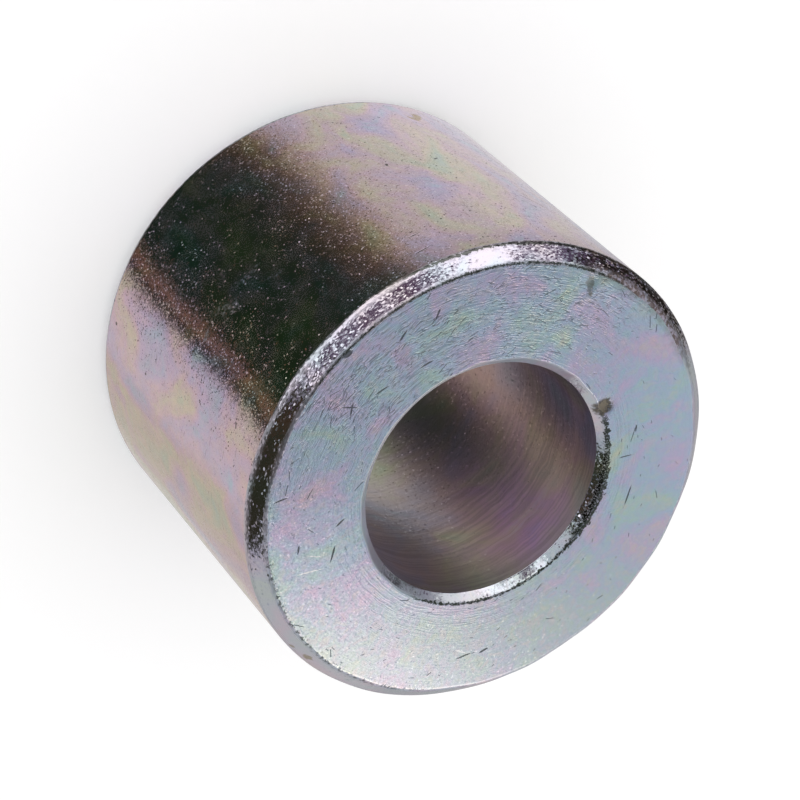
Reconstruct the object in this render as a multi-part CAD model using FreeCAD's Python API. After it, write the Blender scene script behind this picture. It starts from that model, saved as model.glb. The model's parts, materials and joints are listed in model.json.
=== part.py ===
import FreeCAD, Part
import math
import os

# Spacer sleeve: a short, thick-walled steel tube that keeps two parts a set distance apart on a
# bolt or pin. It is turned from round bar in one piece: faced at both ends, bored right through,
# and chamfered at all four rims. It stands on one end, with its axis along Z and its origin at
# the middle of the lower end face.

# Driving sizes, in millimetres
outer_diameter = 32.0
length = 25.0
bore_diameter = 16.25

# The outer chamfer is a little longer along the wall than it is deep across the end face
outer_chamfer_length = 1.0
outer_chamfer_depth = 0.9

# The bore's chamfer is cut at 45 degrees, so one size gives both of its legs
bore_chamfer = 0.5

# Tumbling in the plating barrel has rounded the rims of the outer chamfers
rim_radius = 0.12

# Radii worked out from the driving sizes
outer_radius = outer_diameter / 2
bore_radius = bore_diameter / 2
face_outer_radius = outer_radius - outer_chamfer_depth
face_inner_radius = bore_radius + bore_chamfer


def in_section(radius, height):
    """A point of the lengthwise section, which lies in the XZ plane."""
    return FreeCAD.Vector(radius, 0, height)


def rounded_corner(before, corner, after):
    """The start, middle and end of the arc that rounds a corner and is tangent to both its sides."""
    to_before = (before - corner).normalize()
    to_after = (after - corner).normalize()
    half_angle = to_before.getAngle(to_after) / 2
    tangent_length = rim_radius / math.tan(half_angle)
    corner_gap = rim_radius / math.sin(half_angle) - rim_radius
    inward = (to_before + to_after).normalize()
    start = corner + to_before * tangent_length
    middle = corner + inward * corner_gap
    end = corner + to_after * tangent_length
    return start, middle, end


def section():
    """The section of one side of the wall: straight bore, faces, chamfers and rounded outer rims."""
    bore_bottom = in_section(bore_radius, bore_chamfer)
    face_bottom_inner = in_section(face_inner_radius, 0)
    face_bottom_outer = in_section(face_outer_radius, 0)
    wall_bottom = in_section(outer_radius, outer_chamfer_length)
    wall_top = in_section(outer_radius, length - outer_chamfer_length)
    face_top_outer = in_section(face_outer_radius, length)
    face_top_inner = in_section(face_inner_radius, length)
    bore_top = in_section(bore_radius, length - bore_chamfer)

    rims = [
        rounded_corner(face_bottom_inner, face_bottom_outer, wall_bottom),
        rounded_corner(face_bottom_outer, wall_bottom, wall_top),
        rounded_corner(wall_bottom, wall_top, face_top_outer),
        rounded_corner(wall_top, face_top_outer, face_top_inner),
    ]
    edges = []
    reached = face_bottom_inner
    for start, middle, end in rims:
        edges.append(Part.LineSegment(reached, start).toShape())
        edges.append(Part.Arc(start, middle, end).toShape())
        reached = end
    for corner in (face_top_inner, bore_top, bore_bottom, face_bottom_inner):
        edges.append(Part.LineSegment(reached, corner).toShape())
        reached = corner
    return Part.Face(Part.Wire(edges))


def turned_sleeve():
    """The section turned once round the Z axis."""
    origin = FreeCAD.Vector(0, 0, 0)
    bore_axis = FreeCAD.Vector(0, 0, 1)
    return section().revolve(origin, bore_axis, 360)


os.makedirs("parts", exist_ok=True)
turned_sleeve().exportStep("parts/spacer_sleeve.step")
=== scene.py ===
import json
import math

import bpy
import numpy as np
from mathutils import Matrix, Vector


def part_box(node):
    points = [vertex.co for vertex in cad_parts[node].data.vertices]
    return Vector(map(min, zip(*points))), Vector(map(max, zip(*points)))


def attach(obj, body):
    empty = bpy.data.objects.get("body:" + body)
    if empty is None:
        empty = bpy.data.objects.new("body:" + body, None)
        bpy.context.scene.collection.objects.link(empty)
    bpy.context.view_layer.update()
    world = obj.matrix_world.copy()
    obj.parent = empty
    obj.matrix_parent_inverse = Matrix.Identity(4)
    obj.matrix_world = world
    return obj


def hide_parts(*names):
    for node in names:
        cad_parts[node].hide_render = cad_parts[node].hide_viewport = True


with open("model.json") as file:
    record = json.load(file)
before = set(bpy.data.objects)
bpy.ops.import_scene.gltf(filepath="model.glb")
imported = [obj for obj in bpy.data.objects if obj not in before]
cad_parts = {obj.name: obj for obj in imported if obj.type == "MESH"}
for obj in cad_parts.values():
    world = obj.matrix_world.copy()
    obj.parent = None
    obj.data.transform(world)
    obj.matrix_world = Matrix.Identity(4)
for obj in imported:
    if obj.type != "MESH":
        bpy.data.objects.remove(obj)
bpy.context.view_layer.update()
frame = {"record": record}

# The camera
# It stands about six sleeve diameters off and looks down on the upper end at about 51 degrees.
# The picture is turned on its side, so that the sleeve's axis points to the lower right.

millimetre = 0.001
camera_place = Vector((0, -126.19, 170.25)) * millimetre
aim_point = Vector((0.16, 0.45, 12.5)) * millimetre
camera_roll = math.radians(135.09)
sensor_width = 36
lens_length = 138.74


def camera_turn(place, target, roll):
    """The turn that faces the target with Z up, and then rolls about the line of sight."""
    facing = (target - place).to_track_quat("-Z", "Y").to_matrix()
    return facing @ Matrix.Rotation(roll, 3, "Z")


camera_data = bpy.data.cameras.new("product_camera")
camera_data.sensor_width = sensor_width
camera_data.lens = lens_length
camera_data.clip_start = 10 * millimetre
camera = bpy.data.objects.new("product_camera", camera_data)
bpy.context.scene.collection.objects.link(camera)
camera.location = camera_place
camera.rotation_euler = camera_turn(camera_place, aim_point, camera_roll).to_euler()
bpy.context.scene.camera = camera

# The sleeve's shape
# One length of steel bar, turned and faced, bored through, and chamfered at its four rims.
# The mesh is its section carried once round the axis, with the small faults of the real rims.

bore = next(mount for mount in frame["record"]["mounts"] if mount["name"] == "bore")
_, sleeve_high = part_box("spacer_sleeve")
outer_radius = sleeve_high.x
length = sleeve_high.z
bore_radius = bore["dims"]["r_mm"] * millimetre
bore_chamfer = (length - bore["dims"]["length_mm"] * millimetre) / 2
chamfer_length = 1.0 * millimetre
chamfer_depth = 0.9 * millimetre
face_radius = outer_radius - chamfer_depth

steps_around = 720
steps_in_rounding = 5


def uneven_edge(angles, waves, size, seed):
    """A wavering line round a rim: a sum of cosines of the angle with whole-number wave counts,
    random phases and random weights, scaled so that its spread is the given size."""
    draw = np.random.default_rng(seed)
    counts = np.arange(*waves)
    phases = draw.uniform(0, 2 * np.pi, len(counts))
    weights = draw.uniform(0, 1, len(counts))
    line = (weights * np.cos(np.outer(angles, counts) + phases)).sum(axis=1)
    return size * line / line.std()


def rounded_section(corners, roundings, spacings):
    """The section's outline at every angle: from each corner's arc a straight run, cut at the
    given spacing, goes to the next. An arc of radius r leaves its corner r / tan(half) away, where
    half is half the angle between the two sides. Returns the points and the run that each one
    starts. The runs with odd numbers are the chamfers, and each arc belongs to the one beside it."""
    points = []
    runs = []
    count = len(corners)
    arcs = []
    for index, corner in enumerate(corners):
        before = corners[index - 1] - corner
        after = corners[(index + 1) % count] - corner
        before = before / np.linalg.norm(before, axis=1, keepdims=True)
        after = after / np.linalg.norm(after, axis=1, keepdims=True)
        half = np.arccos(np.sum(before * after, axis=1, keepdims=True)) / 2
        inward = before + after
        inward = inward / np.linalg.norm(inward, axis=1, keepdims=True)
        radius = roundings[index]
        centre = corner + inward * radius / np.sin(half)
        start = corner + before * radius / np.tan(half)
        end = corner + after * radius / np.tan(half)
        arcs.append((centre, start - centre, end - centre))
    for index in range(count):
        centre, from_start, from_end = arcs[index]
        sweep = np.arccos(
            np.clip(np.sum(from_start * from_end, axis=1, keepdims=True) / roundings[index] ** 2, -1, 1)
        )
        chamfer_run = index if index % 2 == 1 else (index - 1) % count
        for share in np.linspace(0, 1, steps_in_rounding + 1):
            arm = (np.sin((1 - share) * sweep) * from_start + np.sin(share * sweep) * from_end)
            points.append(centre + arm / np.sin(sweep))
            runs.append(chamfer_run if share < 1 else index)
        next_centre, next_start, _ = arcs[(index + 1) % count]
        run_start = points[-1]
        run_end = next_centre + next_start
        run_length = np.linalg.norm(run_end - run_start, axis=1).mean()
        cuts = max(1, round(run_length / spacings[index]))
        for share in np.linspace(0, 1, cuts + 1)[1:-1]:
            points.append(run_start + share * (run_end - run_start))
            runs.append(index)
    return np.stack(points, axis=1), runs


def rim_corner(radius, height, angles):
    """A corner of the section at every angle, from a radius and a height that may each be one
    number or one for every angle."""
    return np.stack([radius + 0 * angles, height + 0 * angles], axis=1)


def sleeve_grid(angles):
    """The sleeve's surface as a grid: angle by place along the section. The angle is 0 on the
    camera's side (-Y) and grows towards +X. The section goes up the bore, out over the upper face,
    down the wall and in under the lower face, with one rounding at each corner and one spacing for
    the run after it."""
    face_edge = uneven_edge(angles, (2, 26), 0.035 * millimetre, 4)
    wall_edge = uneven_edge(angles, (2, 22), 0.035 * millimetre, 6)
    bore_edge = uneven_edge(angles, (2, 30), 0.025 * millimetre, 7)
    corners = [
        rim_corner(bore_radius, bore_chamfer, angles),
        rim_corner(bore_radius, length - bore_chamfer, angles),
        rim_corner(bore_radius + bore_chamfer + bore_edge, length, angles),
        rim_corner(face_radius + face_edge, length, angles),
        rim_corner(outer_radius, length - chamfer_length + wall_edge, angles),
        rim_corner(outer_radius, chamfer_length, angles),
        rim_corner(face_radius, 0, angles),
        rim_corner(bore_radius + bore_chamfer, 0, angles),
    ]
    roundings = np.array([0.08, 0.08, 0.16, 0.3, 0.5, 0.5, 0.3, 0.16]) * millimetre
    spacings = np.array([3, 0.1, 0.125, 0.12, 2.5, 0.4, 1.6, 0.3]) * millimetre
    section, runs = rounded_section(corners, roundings, spacings)
    radius = section[:, :, 0]
    height = section[:, :, 1]
    turn = angles[:, None]
    grid = np.stack([radius * np.sin(turn), -radius * np.cos(turn), height], axis=2)
    return grid, np.array(runs)


def press_dent(grid, place, half_width, depth):
    """Pushes the surface down round a place on the upper face, by depth times
    exp(-(distance / half width)^2). All three are in millimetres."""
    centre = np.array((*place, length / millimetre)) * millimetre
    distance = np.linalg.norm(grid - centre, axis=2) / (half_width * millimetre)
    grid[:, :, 2] -= depth * millimetre * np.exp(-(distance**2))


def closed_grid_mesh(name, grid):
    """A mesh of quads over a grid whose two directions both close on themselves."""
    around, along = grid.shape[:2]
    index = np.arange(around * along).reshape(around, along)
    next_around = np.roll(index, -1, axis=0)
    next_along = np.roll(index, -1, axis=1)
    corner = np.roll(next_around, -1, axis=1)
    quads = np.stack([index, next_around, corner, next_along], axis=2).reshape(-1, 4)
    mesh = bpy.data.meshes.new(name)
    mesh.from_pydata(grid.reshape(-1, 3), [], quads.tolist())
    mesh.polygons.foreach_set("use_smooth", np.ones(len(quads), dtype=bool))
    return mesh


angles = np.linspace(-np.pi, np.pi, steps_around, endpoint=False)
grid, section_runs = sleeve_grid(angles)
pit_place = (-8.6, 2.4)
press_dent(grid, pit_place, half_width=0.42, depth=0.08)
press_dent(grid, (-8.8, 2.75), half_width=0.2, depth=0.04)
press_dent(grid, (-13.3, -5.6), half_width=0.45, depth=0.05)
sleeve_mesh = closed_grid_mesh("plated_sleeve", grid)
sleeve = bpy.data.objects.new("plated_sleeve", sleeve_mesh)
bpy.context.scene.collection.objects.link(sleeve)

# The plating
# The steel is zinc plated and dipped in a thin clear passivation. The film is so thin that it
# shows soft tints, and the plated steel under it has fine grain, pits and the marks of the tool.


def new_group(name, inputs, outputs):
    """A node group with its entry's outputs and its exit's inputs. Each socket has a name and a
    kind: Float, Vector or Color."""
    group = bpy.data.node_groups.new(name, "ShaderNodeTree")
    for socket, kind in inputs.items():
        group.interface.new_socket(socket, in_out="INPUT", socket_type="NodeSocket" + kind)
    for socket, kind in outputs.items():
        group.interface.new_socket(socket, in_out="OUTPUT", socket_type="NodeSocket" + kind)
    entry = group.nodes.new("NodeGroupInput")
    leave = group.nodes.new("NodeGroupOutput")
    return group, entry.outputs, leave.inputs


def put(tree, kind, inputs=None, **settings):
    """Adds one node, sets its options, and fills or links its inputs. Returns its outputs."""
    node = tree.nodes.new(kind)
    for option, value in settings.items():
        setattr(node, option, value)
    for socket, value in (inputs or {}).items():
        if isinstance(value, bpy.types.NodeSocket):
            tree.links.new(value, node.inputs[socket])
        else:
            node.inputs[socket].default_value = value
    return node.outputs


def compute(tree, operation, *values):
    """One Math node over one, two or three numbers or sockets."""
    return put(tree, "ShaderNodeMath", dict(enumerate(values)), operation=operation)[0]


def product(tree, first, second):
    """Two numbers or sockets multiplied."""
    return compute(tree, "MULTIPLY", first, second)


def compute_vector(tree, operation, first, second):
    """One Vector Math node over two vectors, or over a vector and the number that scales it."""
    key = "Scale" if operation == "SCALE" else 1
    outputs = put(tree, "ShaderNodeVectorMath", {0: first, key: second}, operation=operation)
    return outputs["Value" if operation == "DOT_PRODUCT" else "Vector"]


def split(tree, vector):
    """The three parts of a vector."""
    return put(tree, "ShaderNodeSeparateXYZ", {0: vector})


def eased(tree, value, start, end):
    """An eased step: 0 at start and 1 at end, whichever of the two is larger."""
    limits = {"Value": value, "From Min": start, "From Max": end}
    return put(tree, "ShaderNodeMapRange", limits, interpolation_type="SMOOTHSTEP")[0]


def blend(tree, share, first, second, blend_type="MIX"):
    """A colour mix: the first colour where the share is 0 and the second where it is 1."""
    inputs = {"Factor": share, "A": first, "B": second}
    node = tree.nodes.new("ShaderNodeMix")
    node.data_type = "RGBA"
    node.blend_type = blend_type
    for socket in node.inputs:
        if socket.type == "RGBA" or socket.identifier == "Factor_Float":
            value = inputs[socket.name]
            if isinstance(value, bpy.types.NodeSocket):
                tree.links.new(value, socket)
            else:
                socket.default_value = value
    return next(socket for socket in node.outputs if socket.type == "RGBA")


def colour_ramp(tree, place, stops):
    """The colour at a place from 0 to 1 on a ramp, whose stops are each a place and a colour."""
    ramp = tree.nodes.new("ShaderNodeValToRGB")
    tree.links.new(place, ramp.inputs["Fac"])
    elements = ramp.color_ramp.elements
    while len(elements) < len(stops):
        elements.new(0.5)
    for element, (position, colour) in zip(elements, stops):
        element.position = position
        element.color = (*colour, 1)
    return ramp.outputs["Color"]


def turned_places(tree, along, across, turn):
    """Two places after a turn: along cos + across sin, and across cos - along sin."""
    cosine = compute(tree, "COSINE", turn)
    sine = compute(tree, "SINE", turn)
    lengthwise = compute(tree, "MULTIPLY_ADD", along, cosine, product(tree, across, sine))
    crosswise = compute(tree, "SUBTRACT", product(tree, across, cosine), product(tree, along, sine))
    return lengthwise, crosswise


def use(tree, group, **inputs):
    """Places a node group in a tree and fills or links its named inputs. Returns its outputs."""
    return put(tree, "ShaderNodeGroup", inputs, node_tree=group)


def sleeve_places():
    """Group: the place on the sleeve in millimetres, its distance from the axis, its angle from
    -Y towards +X, and a point on a circle that turns with the angle, for patterns with no seam."""
    places = {"Point": "Vector", "Radius": "Float", "Angle": "Float", "Height": "Float", "Round": "Vector"}
    group, _, leave = new_group("sleeve_places", {}, places)
    place = put(group, "ShaderNodeTexCoord")["Object"]
    point = compute_vector(group, "SCALE", place, 1 / millimetre)
    x, y, z = split(group, point)
    radius = compute(group, "SQRT", compute(group, "MULTIPLY_ADD", x, x, product(group, y, y)))
    angle = compute(group, "ARCTAN2", x, product(group, y, -1))
    across = {"X": compute(group, "DIVIDE", x, radius), "Y": compute(group, "DIVIDE", y, radius)}
    group.links.new(point, leave["Point"])
    group.links.new(radius, leave["Radius"])
    group.links.new(angle, leave["Angle"])
    group.links.new(z, leave["Height"])
    group.links.new(put(group, "ShaderNodeCombineXYZ", across)[0], leave["Round"])
    return group


def film_tint():
    """Group: the tint of the passivation film. Its thickness wanders over the surface, and the
    colour follows the thickness: lavender, pink, cream, green, cyan, blue, lavender again."""
    numbers = dict.fromkeys(("Thickness", "Spread", "Patch", "Strength"), "Float")
    group, entry, leave = new_group("film_tint", {"Point": "Vector", **numbers}, {"Color": "Color"})
    scale = compute(group, "DIVIDE", 1, entry["Patch"])
    broad = put(
        group,
        "ShaderNodeTexNoise",
        {"Vector": entry["Point"], "Scale": scale, "Detail": 4, "Roughness": 0.48, "Distortion": 0.6},
    )["Fac"]
    swing = product(group, compute(group, "SUBTRACT", broad, 0.5), entry["Spread"])
    thickness = compute(group, "FRACT", compute(group, "ADD", swing, entry["Thickness"]))
    tints = (
        (0.00, (0.64, 0.53, 0.72)),
        (0.18, (0.74, 0.55, 0.62)),
        (0.36, (0.74, 0.64, 0.52)),
        (0.52, (0.62, 0.66, 0.52)),
        (0.68, (0.50, 0.65, 0.63)),
        (0.84, (0.50, 0.59, 0.73)),
        (1.00, (0.64, 0.53, 0.72)),
    )
    bare_zinc = (0.6, 0.6, 0.62, 1)
    tint = colour_ramp(group, thickness, tints)
    group.links.new(blend(group, entry["Strength"], bare_zinc, tint), leave["Color"])
    return group


def plating_grain():
    """Group: the grain of the plating as a height from 0 to 1: noise with finer noise on it."""
    inputs = {"Point": "Vector", "Size": "Float"}
    group, entry, leave = new_group("plating_grain", inputs, {"Height": "Float"})
    scale = compute(group, "DIVIDE", 1, entry["Size"])
    grain = put(
        group,
        "ShaderNodeTexNoise",
        {"Vector": entry["Point"], "Scale": scale, "Detail": 3, "Roughness": 0.6},
    )["Fac"]
    group.links.new(grain, leave["Height"])
    return group


def plating_facets():
    """Group: the small faces of the plating's crystals. Each cell of a scattered pattern leans by
    a random amount: a little in every cell, and far over in a few, because the random vector is
    also raised to the 25th power. The few catch light from elsewhere and show as specks."""
    inputs = {"Point": "Vector", "Size": "Float", "Lean": "Float", "Far Lean": "Float"}
    group, entry, leave = new_group("plating_facets", inputs, {"Normal": "Vector"})
    scale = compute(group, "DIVIDE", 1, entry["Size"])
    cells = put(group, "ShaderNodeTexVoronoi", {"Vector": entry["Point"], "Scale": scale})
    centred = compute_vector(group, "SUBTRACT", cells["Color"], (0.5, 0.5, 0.5))
    random = compute_vector(group, "SCALE", centred, 2)
    squared = compute_vector(group, "MULTIPLY", random, random)
    fourth = compute_vector(group, "MULTIPLY", squared, squared)
    eighth = compute_vector(group, "MULTIPLY", fourth, fourth)
    ninth = compute_vector(group, "MULTIPLY", eighth, random)
    rare = compute_vector(group, "MULTIPLY", compute_vector(group, "MULTIPLY", eighth, eighth), ninth)
    little_lean = compute_vector(group, "SCALE", random, entry["Lean"])
    rare_lean = compute_vector(group, "SCALE", rare, entry["Far Lean"])
    lean = compute_vector(group, "ADD", little_lean, rare_lean)
    straight = put(group, "ShaderNodeNewGeometry")["Normal"]
    leaning = compute_vector(group, "ADD", straight, lean)
    bent = put(group, "ShaderNodeVectorMath", {0: leaning}, operation="NORMALIZE")[0]
    group.links.new(bent, leave["Normal"])
    return group


def tool_marks():
    """Group: lines left round the axis by the lathe tool, from 0 to 1: noise that changes fast
    across the lines and slowly along them. Run is the length of a line in millimetres at a middle
    radius, Waver is how far it strays, and Place is the radius on a face or the height on a wall."""
    numbers = dict.fromkeys(("Place", "Width", "Run", "Waver"), "Float")
    inputs = {"Point": "Vector", "Round": "Vector", **numbers}
    group, entry, leave = new_group("tool_marks", inputs, {"Marks": "Float"})
    middle_radius = 12
    reach = compute(group, "DIVIDE", middle_radius, entry["Run"])
    turned = compute_vector(group, "SCALE", entry["Round"], reach)
    stray = put(group, "ShaderNodeTexNoise", {"Vector": entry["Point"], "Scale": 0.7, "Detail": 1})["Fac"]
    strayed = compute(group, "MULTIPLY_ADD", stray, entry["Waver"], entry["Place"])
    lift = put(group, "ShaderNodeCombineXYZ", {"Z": compute(group, "DIVIDE", strayed, entry["Width"])})[0]
    place = compute_vector(group, "ADD", turned, lift)
    pattern = {"Vector": place, "Scale": 1, "Detail": 2, "Roughness": 0.5}
    lines = put(group, "ShaderNodeTexNoise", pattern)["Fac"]
    group.links.new(lines, leave["Marks"])
    return group


def short_scratches():
    """Group: short straight scratches, one in some of the cells of a scattered pattern. In each
    cell a line through its middle runs in the given direction plus a random share of Swing. The
    mask is 1 where the distance along it is under half its length and across it half its width."""
    names = ("Along", "Across", "Direction", "Swing", "Spacing", "Length", "Width", "Share")
    inputs = dict.fromkeys(names, "Float")
    group, entry, leave = new_group("short_scratches", inputs, {"Scratches": "Float"})
    place = put(group, "ShaderNodeCombineXYZ", {"X": entry["Along"], "Y": entry["Across"]})[0]
    scale = compute(group, "DIVIDE", 1, entry["Spacing"])
    cells = put(group, "ShaderNodeTexVoronoi", {"Vector": place, "Scale": scale}, voronoi_dimensions="2D")
    chance, lean, size = put(group, "ShaderNodeSeparateColor", {0: cells["Color"]})
    offset = compute_vector(group, "SUBTRACT", place, cells["Position"])
    along, across, _ = split(group, offset)
    swing = product(group, compute(group, "SUBTRACT", lean, 0.5), entry["Swing"])
    turn = compute(group, "ADD", entry["Direction"], swing)
    lengthwise, crosswise = turned_places(group, along, across, turn)
    drawn_length = product(group, compute(group, "MULTIPLY_ADD", size, 0.8, 0.4), entry["Length"])
    far_along = compute(group, "DIVIDE", compute(group, "ABSOLUTE", lengthwise), drawn_length)
    far_across = compute(group, "DIVIDE", compute(group, "ABSOLUTE", crosswise), entry["Width"])
    ends = eased(group, far_along, 0.5, 0.3)
    sides = eased(group, far_across, 0.6, 0.2)
    kept = compute(group, "LESS_THAN", chance, entry["Share"])
    mask = product(group, product(group, ends, sides), kept)
    group.links.new(mask, leave["Scratches"])
    return group


def placed_mark():
    """Group: one mark at its place on the surface, 1 inside and 0 outside. It is an ellipse with
    edges made ragged by a noise: the distance is the length of (along / half length, across /
    half width) after a turn, plus the noise less its mean."""
    places = ("Along", "Across", "Noise", "Middle Along", "Middle Across")
    sizes = ("Turn", "Half Length", "Half Width", "Ragged")
    group, entry, leave = new_group("placed_mark", dict.fromkeys(places + sizes, "Float"), {"Mark": "Float"})
    along = compute(group, "SUBTRACT", entry["Along"], entry["Middle Along"])
    across = compute(group, "SUBTRACT", entry["Across"], entry["Middle Across"])
    lengthwise, crosswise = turned_places(group, along, across, entry["Turn"])
    far_along = compute(group, "DIVIDE", lengthwise, entry["Half Length"])
    far_across = compute(group, "DIVIDE", crosswise, entry["Half Width"])
    squares = compute(group, "MULTIPLY_ADD", far_along, far_along, product(group, far_across, far_across))
    distance = compute(group, "SQRT", squares)
    shift = product(group, compute(group, "SUBTRACT", entry["Noise"], 0.5), entry["Ragged"])
    mark = eased(group, compute(group, "ADD", distance, shift), 1.15, 0.6)
    group.links.new(mark, leave["Mark"])
    return group


places_group = sleeve_places()
tint_group = film_tint()
grain_group = plating_grain()
facets_group = plating_facets()
marks_group = tool_marks()
scratches_group = short_scratches()
mark_group = placed_mark()


def node_of_type(tree, kind):
    """The first node of one type in a tree."""
    return next(node for node in tree.nodes if node.type == kind)


def plated_material(name):
    """A new metal material: its node tree, its shader's inputs and the places on the sleeve."""
    material = bpy.data.materials.new(name)
    material.use_nodes = True
    tree = material.node_tree
    shader = node_of_type(tree, "BSDF_PRINCIPLED")
    shader.inputs["Metallic"].default_value = 1
    return material, tree, shader.inputs, use(tree, places_group)


def grain_at(tree, point, size):
    """The grain of the plating, from 0 to 1, with spots of about a size in millimetres."""
    return use(tree, grain_group, Point=point, Size=size)[0]


def set_relief(tree, shader, height, normal):
    """Bends a normal by a height in millimetres and gives it to the shader."""
    inputs = {"Height": height, "Distance": millimetre, "Strength": 1, "Normal": normal}
    tree.links.new(put(tree, "ShaderNodeBump", inputs)[0], shader["Normal"])


def total(tree, *parts):
    """The sum of several heights, each a socket times a number."""
    result = 0
    for socket, size in parts:
        result = compute(tree, "MULTIPLY_ADD", socket, size, result)
    return result


def marks_at(tree, along, across, noise, ragged, marks):
    """The largest of several placed marks. Each mark is its two places in millimetres, its turn
    in degrees, and its half length and half width in millimetres."""
    result = 0
    for middle_along, middle_across, turn, half_length, half_width in marks:
        inputs = {
            "Along": along,
            "Across": across,
            "Noise": noise,
            "Middle Along": middle_along,
            "Middle Across": middle_across,
            "Turn": math.radians(turn),
            "Half Length": half_length,
            "Half Width": half_width,
            "Ragged": ragged,
        }
        result = compute(tree, "MAXIMUM", result, use(tree, mark_group, **inputs)[0])
    return result


def scratched(tree, along, across, direction, swing, spacing, size, width, share):
    """One layer of short scratches, with its sizes in millimetres."""
    return use(
        tree,
        scratches_group,
        Along=along,
        Across=across,
        Direction=direction,
        Swing=swing,
        Spacing=spacing,
        Length=size,
        Width=width,
        Share=share,
    )[0]


def leaning_facets(tree, point, size, lean, far_lean):
    """The normals of the crystals' faces."""
    inputs = {"Point": point, "Size": size, "Lean": lean, "Far Lean": far_lean}
    return use(tree, facets_group, **inputs)[0]


def tinted(tree, colour, mask, strength, stain):
    """Lays a colour over another where a mask is 1, at most at the given strength."""
    return blend(tree, product(tree, mask, strength), colour, (*stain, 1))


def on_side(tree, place, middle, half_width, fade):
    """A mask that is 1 where the angle is within a half width of a middle angle. All three are in
    degrees: the cosine of the angle between the two directions is eased between two cosines."""
    way = math.radians(middle)
    facing = (math.sin(way), -math.cos(way), 0)
    towards = compute_vector(tree, "DOT_PRODUCT", place["Round"], facing)
    outer = math.cos(math.radians(half_width + fade))
    inner = math.cos(math.radians(half_width - fade))
    return eased(tree, towards, outer, inner)


def ragged_line(tree, place, middle, reach, noise, swing):
    """A ragged line round the axis, by radius or by height: 1 where the distance from its middle,
    shifted by a noise times a swing, is under its reach."""
    away = compute(tree, "ABSOLUTE", compute(tree, "SUBTRACT", place, middle))
    shifted = compute(tree, "MULTIPLY_ADD", compute(tree, "SUBTRACT", noise, 0.5), swing, away)
    return eased(tree, compute(tree, "SUBTRACT", shifted, reach), 0.04, 0)


def arc_round(tree, place):
    """The way round the wall in millimetres, from -Y towards +X."""
    return product(tree, place["Angle"], outer_radius / millimetre)


face_edge = face_radius / millimetre
bore_rim = (bore_radius + bore_chamfer) / millimetre
middle_height = length / 2 / millimetre


def rim_damage():
    """Group: lays the damage along the upper rims over a colour. A ragged line of torn plating
    follows the far half of the bore's rim, thick along one side, with crumbs of bare metal left
    in it, and a pit lies at its thick end. A thinner line follows the near half of the face's
    outer edge, and a line of crumbs its +X side. Line is the mask of all three, Pit the pit's."""
    outputs = {"Color": "Color", "Line": "Float", "Pit": "Float"}
    group, entry, leave = new_group("rim_damage", {"Color": "Color"}, outputs)
    place = use(group, places_group)
    point = place["Point"]
    radius = place["Radius"]
    along, across, _ = split(group, point)
    upper = eased(group, place["Height"], middle_height - 0.5, middle_height + 0.5)
    ragged = grain_at(group, point, 0.22)
    fine = grain_at(group, point, 0.11)
    mottle = grain_at(group, point, 0.5)

    thick = on_side(group, place, -137, 34, 9)
    thickest = on_side(group, place, -152, 15, 8)
    middle = compute(group, "MULTIPLY_ADD", thick, 0.05, bore_rim + 0.045)
    reach = compute(group, "MULTIPLY_ADD", thickest, 0.13, compute(group, "MULTIPLY_ADD", thick, 0.08, 0.045))
    swing = compute(group, "MULTIPLY_ADD", thick, 0.4, 0.5)
    bare_crumbs = eased(group, fine, 0.53, 0.61)
    torn_line = ragged_line(group, radius, middle, reach, ragged, swing)
    torn_plating = product(group, torn_line, compute(group, "MULTIPLY_ADD", bare_crumbs, -0.72, 1))
    torn = product(group, torn_plating, on_side(group, place, 179, 72, 5))

    thin_line = ragged_line(group, radius, face_edge - 0.06, 0.055, fine, 0.4)
    breaks = compute(group, "MULTIPLY_ADD", eased(group, mottle, 0.36, 0.5), 0.6, 0.35)
    near_edge = product(group, product(group, thin_line, breaks), on_side(group, place, -30, 45, 6))
    crumb_line = ragged_line(group, radius, face_edge - 0.08, 0.06, fine, 0.9)
    crumbs = product(group, crumb_line, eased(group, ragged, 0.44, 0.56))
    crumbled_edge = product(group, crumbs, on_side(group, place, 82, 40, 9))
    edge = compute(group, "MAXIMUM", near_edge, product(group, crumbled_edge, 0.8))

    line = product(group, compute(group, "MAXIMUM", torn, edge), upper)
    hollow = marks_at(group, along, across, ragged, 1, ((*pit_place, 0, 0.72, 0.66),))
    hollow_floor = marks_at(group, along, across, fine, 3, ((*pit_place, 40, 0.5, 0.36),))
    pit = product(group, hollow, upper)
    pit_floor = product(group, hollow_floor, upper)
    lined = tinted(group, entry["Color"], line, 0.96, (0.045, 0.055, 0.04))
    pitted = tinted(group, lined, pit, 0.9, (0.1, 0.085, 0.06))
    group.links.new(tinted(group, pitted, pit_floor, 0.6, (0.42, 0.36, 0.27)), leave["Color"])
    group.links.new(line, leave["Line"])
    group.links.new(pit, leave["Pit"])
    return group


def end_film():
    """Group: the film's tint on an end: patches of blue, cyan and lavender, paler towards the far
    side and +X. The bore's chamfer has the same tint as the face beside it."""
    group, _, leave = new_group("end_film", {}, {"Color": "Color"})
    point = use(group, places_group)["Point"]
    along, across, _ = split(group, point)
    far_corner = eased(group, compute(group, "ADD", along, across), 3, 16)
    strength = compute(group, "MULTIPLY_ADD", far_corner, -0.55, 1)
    leaning = compute(group, "MULTIPLY_ADD", along, 0.001, 0.86)
    thickness = compute(group, "MULTIPLY_ADD", far_corner, -0.08, leaning)
    broad = {"Point": point, "Thickness": thickness, "Spread": 1.35, "Patch": 3.6, "Strength": strength}
    small = {"Point": point, "Thickness": 0.85, "Spread": 2.4, "Patch": 0.7, "Strength": 0.8}
    broad_tint = use(group, tint_group, **broad)[0]
    small_tint = use(group, tint_group, **small)[0]
    group.links.new(blend(group, 0.24, broad_tint, small_tint), leave["Color"])
    return group


damage_group = rim_damage()
end_film_group = end_film()


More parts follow.
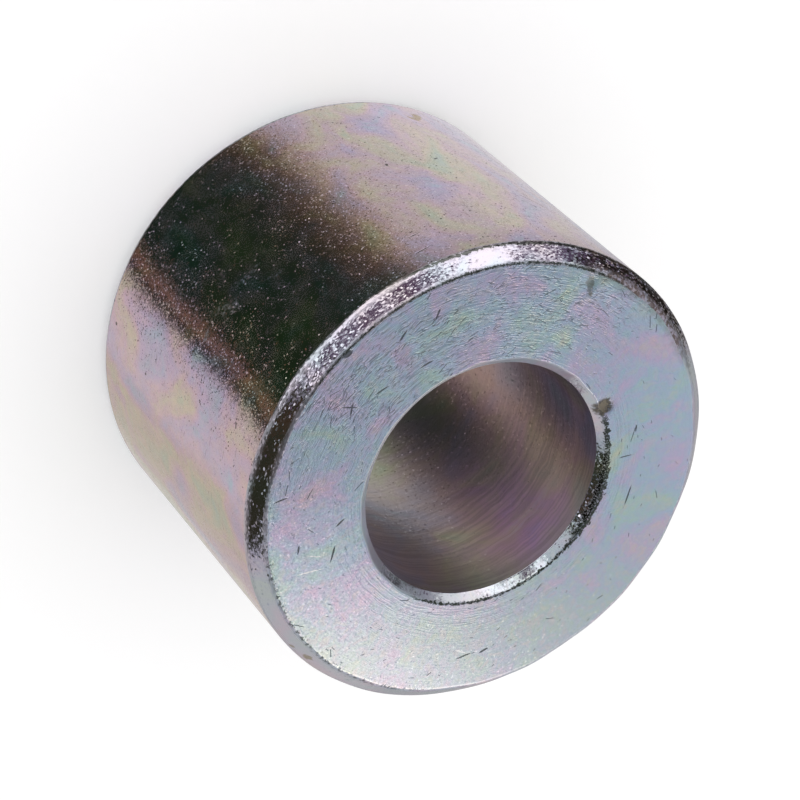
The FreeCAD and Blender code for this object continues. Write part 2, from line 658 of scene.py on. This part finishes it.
def wall_finish():
    """The turned side wall: pink, lavender and cream tints, crystal specks, short tears from the
    tool, duller clouds, and the scuffs, nicks and stains that the photo shows."""
    material, tree, shader, place = plated_material("turned_wall")
    point = place["Point"]
    arc = arc_round(tree, place)
    height = place["Height"]
    slant = {"Vector": point, "Rotation": (0.5, 0.4, 0), "Scale": (1, 1, 0.6)}
    leaning = put(tree, "ShaderNodeMapping", slant)[0]
    broad_tint = use(tree, tint_group, Point=leaning, Thickness=0.18, Spread=1.8, Patch=3.6, Strength=1)[0]
    small_tint = use(tree, tint_group, Point=point, Thickness=0.4, Spread=3, Patch=0.9, Strength=1)[0]
    grain = grain_at(tree, point, 0.22)
    swell = grain_at(tree, point, 1.6)
    mottle = grain_at(tree, point, 0.55)
    cloudy = eased(tree, grain_at(tree, leaning, 1), 0.3, 0.7)
    tint = tinted(tree, blend(tree, 0.1, broad_tint, small_tint), cloudy, 0.17, (0.36, 0.34, 0.34))
    often = eased(tree, swell, 0.35, 0.9)
    torn = scratched(
        tree, arc, height, direction=0.12, swing=0.5, spacing=1.1, size=0.7, width=0.07, share=often
    )
    scuffs = marks_at(tree, arc, height, mottle, 3, (
        (1.5, 13.5, 173, 1.1, 0.3),
        (0.2, 15.6, 160, 0.8, 0.25),
        (3.6, 14.1, 127, 1.6, 0.45),
        (5.9, 13.5, 25, 0.5, 0.25),
    ))
    nicks = marks_at(tree, arc, height, mottle, 1, (
        (-18.7, 16.3, 145, 1.1, 0.06),
        (-12.3, 19.1, 60, 0.1, 0.08),
        (-11.6, 22.8, 87, 0.1, 0.09),
        (-14.1, 10.9, 25, 0.25, 0.07),
        (-10.5, 11.1, 76, 0.2, 0.1),
        (11.5, 7.7, 116, 0.1, 0.1),
        (8.7, 20.6, 37, 0.25, 0.08),
        (10.5, 2.2, 76, 0.15, 0.1),
        (-7.4, 22.2, 10, 0.7, 0.07),
        (-7.8, 20.3, 8, 0.45, 0.07),
    ))
    stains = marks_at(tree, arc, height, mottle, 2, (
        (-16.3, 3.6, 143, 0.45, 0.2),
        (-16.8, 3.0, 60, 0.8, 0.35),
    ))
    with_tears = tinted(tree, tint, torn, 0.4, (0.1, 0.09, 0.07))
    with_nicks = tinted(tree, with_tears, nicks, 0.8, (0.07, 0.06, 0.05))
    stained = tinted(tree, with_nicks, stains, 0.85, (0.4, 0.27, 0.1))
    haze = eased(tree, mottle, 0.5, 0.8)
    roughness = compute(tree, "MULTIPLY_ADD", haze, 0.22, 0.11)
    rubbed = product(tree, scuffs, eased(tree, grain, 0.35, 0.7))
    tree.links.new(compute(tree, "MULTIPLY_ADD", rubbed, 0.3, roughness), shader["Roughness"])
    tree.links.new(tinted(tree, stained, rubbed, 0.5, (0.55, 0.68, 0.85)), shader["Base Color"])
    tree.links.new(compute(tree, "MULTIPLY_ADD", cloudy, -0.032, 1), shader["Metallic"])
    facets = leaning_facets(tree, point, size=0.08, lean=0.014, far_lean=0.32)
    relief = total(tree, (grain, 0.0008), (swell, 0.006), (torn, -0.003), (nicks, -0.02))
    set_relief(tree, shader, relief, facets)
    return material


def face_finish():
    """The faced end: blue, cyan and lavender tints, rings from the tool, tears and scratches in
    patches on the near side, and the nicks, scratches and smear that the photo shows, with three
    scratches on the +X side painted near white as glints. The outer edge is dusty on the -X side
    and has dark crumbs on the +X side, with bright crumbs among them painted as glints."""
    material, tree, shader, place = plated_material("faced_end")
    point = place["Point"]
    along, across, _ = split(tree, point)
    angle = place["Angle"]
    radius = place["Radius"]
    tint = use(tree, end_film_group)[0]
    grain = grain_at(tree, point, 0.2)
    mottle = grain_at(tree, point, 0.55)
    patches = grain_at(tree, point, 2)
    raked_way = math.radians(-25)
    facing = (math.sin(raked_way), -math.cos(raked_way), 0)
    towards = compute_vector(tree, "DOT_PRODUCT", point, facing)
    raked = eased(tree, towards, 3, 11)
    worn = product(tree, eased(tree, patches, 0.38, 0.62), raked)
    tangent = compute(tree, "ADD", angle, 0.3)
    often = compute(tree, "MULTIPLY_ADD", worn, 0.7, 0.03)
    small = scratched(
        tree, along, across, direction=tangent, swing=1.4, spacing=0.32, size=0.38, width=0.06, share=often
    )
    thin = scratched(
        tree, along, across, direction=angle, swing=1.6, spacing=0.8, size=1, width=0.06, share=often
    )
    torn = compute(tree, "MAXIMUM", product(tree, small, 0.6), thin)
    round_about = {"Point": point, "Round": place["Round"], "Place": radius}
    rings = use(tree, marks_group, **round_about, Width=0.09, Run=3, Waver=0.3)[0]
    short_runs = use(tree, marks_group, **round_about, Width=0.1, Run=0.55, Waver=0.8)[0]
    patchy = compute(tree, "MULTIPLY_ADD", eased(tree, patches, 0.35, 0.6), 0.6, 0.4)
    dashes = product(tree, eased(tree, short_runs, 0.5, 0.68), product(tree, raked, patchy))
    nicks = marks_at(tree, along, across, mottle, 1, (
        (-5.9, 9.2, 34, 0.8, 0.06),
        (-7.5, 6.7, 142, 0.5, 0.05),
        (-9.2, 5.6, 46, 0.3, 0.07),
        (2.6, -11.9, 128, 0.6, 0.05),
        (2.6, -11.7, 39, 0.5, 0.06),
        (-2.5, -10.1, 163, 0.5, 0.07),
        (0.5, -11.1, 166, 0.5, 0.06),
        (-5.1, -12.2, 28, 0.45, 0.07),
        (9.7, -4.8, 36, 0.6, 0.07),
        (11.0, -6.9, 44, 0.35, 0.06),
        (9.5, -10.6, 151, 0.55, 0.06),
        (8.0, -6.1, 0, 0.35, 0.06),
        (-2.7, -12.9, 13, 0.4, 0.08),
        (0.4, -14.9, 170, 0.4, 0.2),
        (8.9, 9.0, 150, 0.5, 0.06),
        (7.7, 9.9, 160, 0.35, 0.08),
    ))
    # Painted glints: three scratches on the +X side, painted near white
    bright = marks_at(tree, along, across, mottle, 1, (
        (11.5, -5.0, 142, 0.9, 0.05),
        (10.6, -5.6, 123, 0.55, 0.05),
        (8.8, 8.6, 111, 0.5, 0.06),
    ))
    smears = marks_at(tree, along, across, mottle, 3, ((-13.2, -5.5, 60, 1.05, 0.34),))
    at_bore = eased(tree, radius, 11.5, 9.5)
    ringed = compute(tree, "MULTIPLY_ADD", raked, 0.75, compute(tree, "MULTIPLY_ADD", at_bore, 0.3, 0.08))
    broken = product(tree, ringed, eased(tree, mottle, 0.3, 0.55))
    lines = product(tree, eased(tree, rings, 0.45, 0.62), broken)
    at_rim = eased(tree, compute(tree, "ADD", radius, mottle), face_edge - 0.2, face_edge + 0.5)
    dusty = product(tree, at_rim, on_side(tree, place, -85, 22, 8))
    hazy = tinted(tree, tint, dusty, 0.5, (0.3, 0.29, 0.24))
    shaded = tinted(tree, hazy, lines, 0.3, (0.16, 0.2, 0.22))
    dashed = tinted(tree, shaded, dashes, 0.5, (0.08, 0.1, 0.11))
    with_tears = tinted(tree, dashed, torn, 0.7, (0.07, 0.09, 0.1))
    with_nicks = tinted(tree, with_tears, nicks, 0.8, (0.06, 0.07, 0.07))
    with_bright = tinted(tree, with_nicks, bright, 0.7, (0.95, 0.95, 0.95))
    smeared = tinted(tree, with_bright, smears, 0.6, (0.2, 0.165, 0.11))
    by_edge = eased(tree, radius, face_edge - 0.8, face_edge - 0.1)
    crumbly = product(tree, by_edge, on_side(tree, place, 84, 42, 10))
    # Painted glints: the bright crumbs on the +X edge
    painted_glint_crumbs = product(tree, eased(tree, grain, 0.58, 0.66), crumbly)
    dark_crumbs = product(tree, eased(tree, grain, 0.4, 0.33), crumbly)
    with_painted_glint_crumbs = tinted(tree, smeared, painted_glint_crumbs, 0.6, (0.95, 0.93, 0.84))
    crumbled = tinted(tree, with_painted_glint_crumbs, dark_crumbs, 0.65, (0.16, 0.15, 0.1))
    damaged = use(tree, damage_group, Color=crumbled)
    tree.links.new(damaged["Color"], shader["Base Color"])
    tree.links.new(compute(tree, "MULTIPLY_ADD", damaged["Pit"], 0.4, 0.16), shader["Roughness"])
    facets = leaning_facets(tree, point, size=0.1, lean=0.005, far_lean=0.02)
    marks = total(tree, (lines, 0.0035), (dashes, -0.005), (torn, -0.011), (nicks, -0.015))
    set_relief(tree, shader, total(tree, (marks, 1), (damaged["Line"], -0.02), (grain, 0.0012)), facets)
    return material


def outer_chamfer_finish():
    """The outer chamfers: smooth in the middle and rough towards both edges, with crystals drawn
    out along the rim. Ragged dark lines of torn plating edge them on the near side. Brown specks
    lie thick on the -X side, which is worn dull, and two stains on the +X side."""
    material, tree, shader, place = plated_material("outer_chamfer")
    point = place["Point"]
    radius = place["Radius"]
    height = place["Height"]
    tint = use(tree, tint_group, Point=point, Thickness=0.95, Spread=1.5, Patch=4, Strength=0.4)[0]
    grain = grain_at(tree, point, 0.16)
    ragged = grain_at(tree, point, 0.25)
    mottle = grain_at(tree, point, 0.4)
    wall_edge = middle_height - chamfer_length / millimetre
    from_middle = compute(tree, "ABSOLUTE", compute(tree, "SUBTRACT", height, middle_height))
    by_face = eased(tree, radius, face_edge + 0.2, face_edge + 0.05)
    by_wall = eased(tree, from_middle, wall_edge + 0.3, wall_edge + 0.08)
    edges = compute(tree, "MAXIMUM", by_face, by_wall)
    torn_line = ragged_line(tree, from_middle, wall_edge + 0.01, 0.08, ragged, 0.5)
    at_wall = product(tree, torn_line, on_side(tree, place, -52, 34, 4))
    lined = tinted(tree, tint, at_wall, 0.85, (0.05, 0.06, 0.04))
    brown_side = on_side(tree, place, -84, 20, 7)
    specked = product(tree, eased(tree, mottle, 0.42, 0.56), brown_side)
    browned = tinted(tree, lined, specked, 0.75, (0.16, 0.1, 0.06))
    arc = arc_round(tree, place)
    stains = marks_at(tree, arc, height, mottle, 2, (
        (25.4, 24.4, 0, 0.38, 0.2),
        (24.0, 24.15, 20, 0.22, 0.08),
    ))
    stained = tinted(tree, browned, stains, 0.7, (0.28, 0.24, 0.12))
    damaged = use(tree, damage_group, Color=stained)
    tree.links.new(damaged["Color"], shader["Base Color"])
    face_half = eased(tree, radius, face_edge + 0.5, face_edge + 0.2)
    worn = product(tree, face_half, on_side(tree, place, -88, 18, 8))
    dull = compute(tree, "MULTIPLY_ADD", worn, 0.4, compute(tree, "MULTIPLY_ADD", edges, 0.2, 0.12))
    tree.links.new(dull, shader["Roughness"])
    pattern_radius = 11
    turned = compute_vector(tree, "SCALE", place["Round"], pattern_radius)
    lift = put(tree, "ShaderNodeCombineXYZ", {"Z": compute(tree, "SUBTRACT", height, radius)})[0]
    stretched = compute_vector(tree, "ADD", turned, lift)
    lean = compute(tree, "MULTIPLY_ADD", brown_side, 0.1, compute(tree, "MULTIPLY_ADD", edges, 0.08, 0.05))
    dark_side = product(tree, on_side(tree, place, 38, 18, 8), 0.15)
    far_lean = compute(tree, "MULTIPLY_ADD", brown_side, 0.25, compute(tree, "ADD", dark_side, 0.22))
    facets = leaning_facets(tree, stretched, size=0.12, lean=lean, far_lean=far_lean)
    set_relief(tree, shader, total(tree, (grain, 0.005), (damaged["Line"], -0.01)), facets)
    return material


def bore_chamfer_finish():
    """The bore's chamfers, tinted like the faces and greyer, with painted shade that makes the +X
    side greyer and darker. The damage of the upper rim crosses one of them, with more specks beside
    the torn line, and along the near half there is a dull burr, which painted light makes pale."""
    material, tree, shader, place = plated_material("bore_chamfer")
    point = place["Point"]
    grain = grain_at(tree, point, 0.2)
    depthwise = split(tree, place["Round"])[1]
    burr = eased(tree, depthwise, 0.1, -0.5)
    greyer = blend(tree, 0.4, use(tree, end_film_group)[0], (0.68, 0.7, 0.68, 1))
    # Painted light: the near half of the chamfer is made pale
    paler = tinted(tree, greyer, eased(tree, depthwise, -0.6, -1), 0.6, (0.95, 0.94, 0.92))
    # Painted shade: the +X side is made greyer and darker
    shaded = tinted(tree, paler, on_side(tree, place, 100, 30, 12), 0.5, (0.32, 0.34, 0.36))
    torn_side = on_side(tree, place, -146, 18, 8)
    damaged = use(tree, damage_group, Color=shaded)
    tree.links.new(damaged["Color"], shader["Base Color"])
    tree.links.new(compute(tree, "MULTIPLY_ADD", burr, 0.45, 0.15), shader["Roughness"])
    lean = compute(tree, "MULTIPLY_ADD", torn_side, 0.07, 0.02)
    far_lean = compute(tree, "MULTIPLY_ADD", torn_side, 0.25, 0.12)
    facets = leaning_facets(tree, point, size=0.11, lean=lean, far_lean=far_lean)
    set_relief(tree, shader, total(tree, (grain, 0.004), (damaged["Line"], -0.02)), facets)
    return material


def bore_finish():
    """The bore: the plating is thin and dull there. Across the bore the film's tint carries a painted
    reflection of the studio's bands: brown on one side, purple in the middle and khaki on the other.
    Painted light through the open top makes it brighter towards the top, but not on the +X side, and
    it is darker and bluer at its very top rim. Painted shade makes it darker and bluer low down on
    the +X half. It has pits, pale specks, and rings from the boring tool that are clearer near the top."""
    material, tree, shader, place = plated_material("bored_wall")
    shader["Roughness"].default_value = 0.4
    point = place["Point"]
    small_tint = use(tree, tint_group, Point=point, Thickness=0.18, Spread=1.3, Patch=5, Strength=0.8)[0]
    height = place["Height"]
    sideways = split(tree, place["Round"])[0]
    share = put(tree, "ShaderNodeMapRange", {"Value": sideways, "From Min": -1, "From Max": 1})[0]
    # Across the bore: the film's tint with a painted reflection of the studio's bands
    tints = (
        (-1.00, (0.42, 0.47, 0.46)),
        (-0.93, (0.66, 0.69, 0.68)),
        (-0.62, (0.84, 0.75, 0.62)),
        (-0.30, (1.04, 0.94, 0.98)),
        (0.10, (1.05, 1.02, 1.16)),
        (0.45, (0.98, 1.07, 0.96)),
        (0.75, (1.05, 1.20, 1.02)),
        (1.00, (1.00, 1.15, 1.08)),
    )
    tint_with_painted_reflection = colour_ramp(tree, share, [((across + 1) / 2, colour) for across, colour in tints])
    coloured = blend(tree, 1.0, small_tint, tint_with_painted_reflection, "MULTIPLY")
    # Painted light through the open top: brighter towards the top, but not on the +X side
    unlit = compute(tree, "MULTIPLY_ADD", eased(tree, sideways, 0.5, 0.85), -0.85, 1)
    upper = product(tree, eased(tree, height, 10, 25), unlit)
    painted_top_light = blend(tree, upper, coloured, (1.52, 1.5, 1.64, 1), "MULTIPLY")
    # Painted shade: darker and bluer low down on the +X half
    painted_low_shade_mask = product(tree, eased(tree, height, 12, 4), eased(tree, sideways, -0.35, 0))
    with_painted_low_shade = blend(tree, painted_low_shade_mask, painted_top_light, (0.7, 0.76, 0.84, 1), "MULTIPLY")
    # Darker and bluer at the very top rim
    dull = blend(tree, eased(tree, height, 21.5, 24.4), with_painted_low_shade, (0.72, 0.8, 0.82, 1), "MULTIPLY")
    round_about = {"Point": point, "Round": place["Round"], "Place": height}
    rings = use(tree, marks_group, **round_about, Width=0.25, Run=9, Waver=0.5)[0]
    lines = eased(tree, rings, 0.35, 0.65)
    pits = eased(tree, grain_at(tree, point, 0.3), 0.72, 0.76)
    # Pale specks scattered over the bore
    pale_specks = eased(tree, grain_at(tree, point, 0.45), 0.735, 0.76)
    ringed = compute(tree, "MULTIPLY_ADD", eased(tree, height, 11, 17), 0.14, 0.08)
    lined = tinted(tree, dull, product(tree, lines, ringed), 1, (0.12, 0.1, 0.12))
    pitted = tinted(tree, lined, pits, 0.6, (0.08, 0.05, 0.03))
    tree.links.new(tinted(tree, pitted, pale_specks, 0.5, (0.9, 0.9, 0.88)), shader["Base Color"])
    facets = leaning_facets(tree, point, size=0.12, lean=0.01, far_lean=0.2)
    set_relief(tree, shader, total(tree, (rings, 0.012)), facets)
    return material


finishes = [wall_finish(), face_finish(), outer_chamfer_finish(), bore_chamfer_finish(), bore_finish()]
wall, face, outer_chamfer, inner_chamfer, inside = range(len(finishes))
for finish in finishes:
    sleeve_mesh.materials.append(finish)
finish_of_run = np.array(
    [inside, inner_chamfer, face, outer_chamfer, wall, outer_chamfer, face, inner_chamfer]
)
face_finishes = np.tile(finish_of_run[section_runs], steps_around)
sleeve_mesh.polygons.foreach_set("material_index", face_finishes.astype(np.int32))
sleeve_mesh.update()

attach(sleeve, "root")
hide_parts("spacer_sleeve")

# The studio
# A plain white floor, and soft light all round. Metal shows what stands about it, so the light
# that it mirrors has broad pale screens with dark gaps between them.

floor_reach = 1.5
floor_mesh = bpy.data.meshes.new("floor")
floor_corners = np.array([(-1, -1, 0), (1, -1, 0), (1, 1, 0), (-1, 1, 0)]) * floor_reach
floor_mesh.from_pydata(floor_corners, [], [(0, 1, 2, 3)])
floor = bpy.data.objects.new("floor", floor_mesh)
bpy.context.scene.collection.objects.link(floor)
floor.visible_glossy = False


def floor_finish():
    """A white floor that keeps the sleeve's soft shadow. The camera also sees a little light
    added to it, so that it is white where nothing shades it."""
    material = bpy.data.materials.new("white_floor")
    material.use_nodes = True
    tree = material.node_tree
    shader = node_of_type(tree, "BSDF_PRINCIPLED")
    shader.inputs["Base Color"].default_value = (0.9, 0.9, 0.9, 1)
    shader.inputs["Roughness"].default_value = 1
    shader.inputs["Specular IOR Level"].default_value = 0
    shader.inputs["Emission Color"].default_value = (1, 1, 1, 1)
    seen = put(tree, "ShaderNodeLightPath")["Is Camera Ray"]
    tree.links.new(product(tree, seen, 0.2), shader.inputs["Emission Strength"])
    return material


floor_mesh.materials.append(floor_finish())

world = bpy.data.worlds.new("studio")
world.use_nodes = True
bpy.context.scene.world = world
studio = world.node_tree
background = node_of_type(studio, "BACKGROUND")


def grey(value):
    """A colour with three equal parts."""
    return (value, value, value, 1)


def studio_directions():
    """The direction of a ray that leaves the scene: degrees round from -Y towards +X, and
    degrees above the horizon."""
    direction = put(studio, "ShaderNodeTexCoord")["Generated"]
    x, y, z = split(studio, direction)
    around = compute(studio, "ARCTAN2", x, product(studio, y, -1))
    above = compute(studio, "ARCSINE", z)
    return compute(studio, "DEGREES", around), compute(studio, "DEGREES", above)


around, above = studio_directions()


def screen(light, colour, sides, ends, softness, blend_type="MIX"):
    """Lays a soft-edged screen over the light so far: from one side to the other in degrees
    round the sleeve, and from its lower to its upper end in degrees above the horizon. With
    MULTIPLY its colour scales the light behind it."""
    masks = []
    for direction, (first, last) in ((around, sides), (above, ends)):
        rise = eased(studio, direction, first - softness, first + softness)
        fall = eased(studio, direction, last + softness, last - softness)
        masks.append(product(studio, rise, fall))
    return blend(studio, product(studio, *masks), light, colour, blend_type)


def front_table():
    """The table in front of the sleeve, as its side wall mirrors it: bright at the sides, and
    dark in the middle, with a soft brown edge on one side and a narrow brown strip on the other."""
    reach = 100
    place = put(studio, "ShaderNodeMapRange", {"Value": around, "From Min": -reach, "From Max": reach})[0]
    shades = (
        (-90, (0.70, 0.71, 0.73)),
        (-60, (0.61, 0.60, 0.60)),
        (-52, (0.46, 0.42, 0.36)),
        (-44, (0.26, 0.235, 0.18)),
        (-39, (0.13, 0.11, 0.075)),
        (-30, (0.06, 0.052, 0.034)),
        (-20, (0.024, 0.031, 0.02)),
        (-6, (0.012, 0.027, 0.013)),
        (41, (0.010, 0.023, 0.012)),
        (44.5, (0.19, 0.12, 0.085)),
        (48.5, (0.19, 0.12, 0.085)),
        (50, (0.02, 0.025, 0.02)),
        (54.5, (0.02, 0.025, 0.02)),
        (57.5, (0.45, 0.43, 0.44)),
        (64, (0.66, 0.62, 0.62)),
        (90, (0.73, 0.70, 0.66)),
    )
    stops = [((degrees + reach) / (2 * reach), shade) for degrees, shade in shades]
    return colour_ramp(studio, place, stops)


# Sides at 400 or -400 lie past the seam behind the sleeve, so that no soft edge shows there
all_round = (-400, 400)
screens = (
    # The room: darker just below the horizon, and pale behind on the +X side
    (grey(0.48), all_round, (-40, -8), 6),
    ((0.66, 0.64, 0.62, 1), (96, 152), (-25, 22), 6),
    # The table: pale, browner on the +X side and behind, with a shade and a dark gap on the -X side
    ((0.80, 0.79, 0.80, 1), all_round, (-120, -47), 3),
    ((0.61, 0.57, 0.54, 1), (96, 152), (-120, -46), 4),
    ((0.67, 0.65, 0.62, 1), (152, 400), (-120, -46), 4),
    (front_table(), (-100, 100), (-120, -24), 4),
    (grey(0.7), (-400, -24), (-51.5, -40), 4, "MULTIPLY"),
    ((0.03, 0.035, 0.025, 1), (-112, -58), (-36, -22), 3),
    # The high band that the upper end mirrors, with a lamp behind the sleeve
    ((0.37, 0.42, 0.46, 1), all_round, (42, 62), 4),
    ((0.59, 0.63, 0.655, 1), all_round, (35, 49.5), 2),
    ((2.1, 1.9, 1.75, 1), (160, 175.3), (30, 49.8), 1.5),
    (grey(1.15), (-176, -165), (42, 56), 2, "MULTIPLY"),
    # A pale wall behind the sleeve
    (grey(0.75), (166, 400), (-6, 34), 4),
    (grey(0.75), (-400, -166), (-6, 34), 4),
    # A white screen in front, on the -X side, in steps, with a dimmer end
    (grey(1.65), (-73, 16), (-16, 21), 2),
    (grey(1.65), (-16, 18), (10, 25), 2),
    (grey(1.65), (-73, 30), (-16, 12), 2),
    (grey(1.65), (-80, -50), (10, 36), 3),
    (grey(1.3), (-98, -70), (20, 36), 2.5),
    # Dark purple gaps beside and above that screen, and two pale screens higher up
    ((0.13, 0.085, 0.14, 1), (-112, -77.5), (-30, 15), 3),
    ((0.085, 0.04, 0.09, 1), (-50, 26), (27.5, 36), 2),
    ((0.085, 0.04, 0.09, 1), (-42, -16), (23, 30), 2),
    (grey(0.85), (-58, 26), (37.5, 41), 1.5),
    (grey(1.5), (-80, -12), (40, 56), 2.5),
    # A dark gap in front on the +X side, browner in its middle, with a grey patch low in it
    ((0.028, 0.028, 0.014, 1), (24, 88), (-8, 58), 4),
    ((0.05, 0.03, 0.014, 1), (34, 50), (-8, 58), 5),
    (grey(0.5), (32, 50), (-12, 18), 5),
    # A small shade in the high band
    (grey(0.8), (173.2, 178.8), (48.9, 56), 0.9, "MULTIPLY"),
    # A dark gap behind on the -X side
    ((0.02, 0.02, 0.016, 1), (-144, -92), (-29, 3), 4),
    ((0.04, 0.035, 0.03, 1), (-144, -108), (-10, 9), 4),
    # The dark ceiling, darkest over the +X side
    (grey(0.12), all_round, (64, 120), 6),
    (grey(0.05), (36, 125), (48, 78), 6),
)
light = screen(grey(0.62), (0.5, 0.5, 0.56, 1), all_round, (0, 100), 12)
for row in screens:
    light = screen(light, *row)

white_field = studio.nodes.new("ShaderNodeBackground")
rays = put(studio, "ShaderNodeLightPath")
studio.links.new(light, background.inputs["Color"])
shown = put(
    studio,
    "ShaderNodeMixShader",
    {0: rays["Is Glossy Ray"], 1: white_field.outputs[0], 2: background.outputs[0]},
)[0]
white_field.inputs["Color"].default_value = grey(1.0)
studio.links.new(shown, node_of_type(studio, "OUTPUT_WORLD").inputs["Surface"])

bpy.context.scene.view_settings.view_transform = "Standard"
